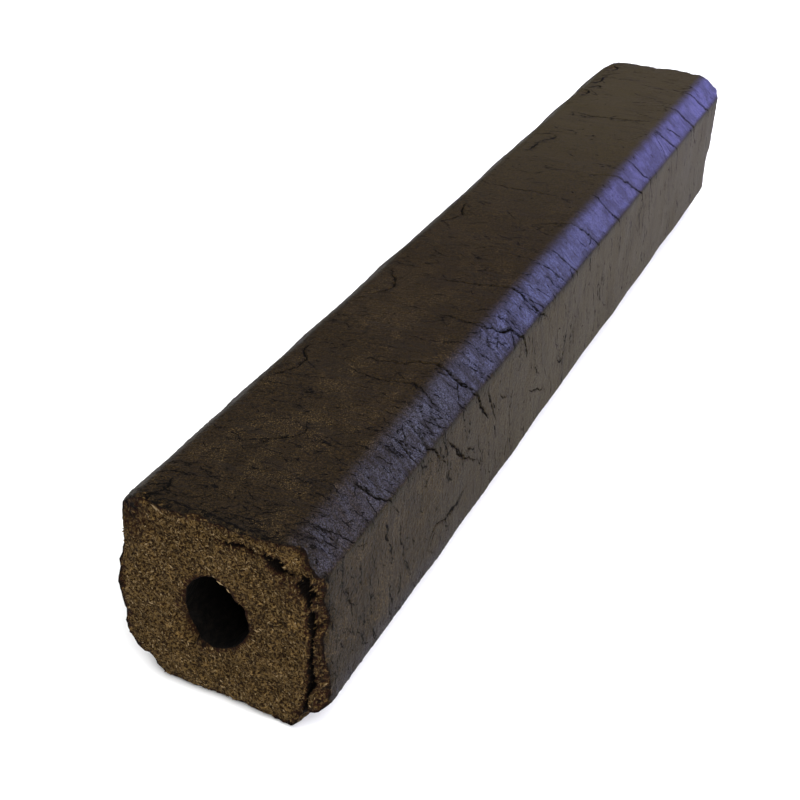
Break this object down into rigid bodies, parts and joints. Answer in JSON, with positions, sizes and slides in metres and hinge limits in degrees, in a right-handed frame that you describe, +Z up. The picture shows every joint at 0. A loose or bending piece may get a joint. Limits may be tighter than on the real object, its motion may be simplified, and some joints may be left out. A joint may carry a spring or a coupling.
{
  "type": "wood briquette",
  "caption": "Square pressed sawdust fuel log with chamfered edges, a round bore from end to end, a cracked charred skin and broken ends.",
  "frame": {"origin": "middle of the base, on the surface that the bar lies on", "axes": "+X along the bar, towards the end that the picture shows; +Z up; +Y towards the side that the picture shows"},
  "size_m": [0.305, 0.05, 0.05],
  "materials": {
    "charred_wood": "charred and glazed pressed sawdust, dark brown, cracked across",
    "torn_wood": "broken ends, torn brown fibres with pale splinters, matt",
    "burnt_bore": "wall of the bore, burnt nearly black, matt"
  },
  "bodies": {
    "root": {"briquette": "charred_wood"}
  },
  "joints": []
}
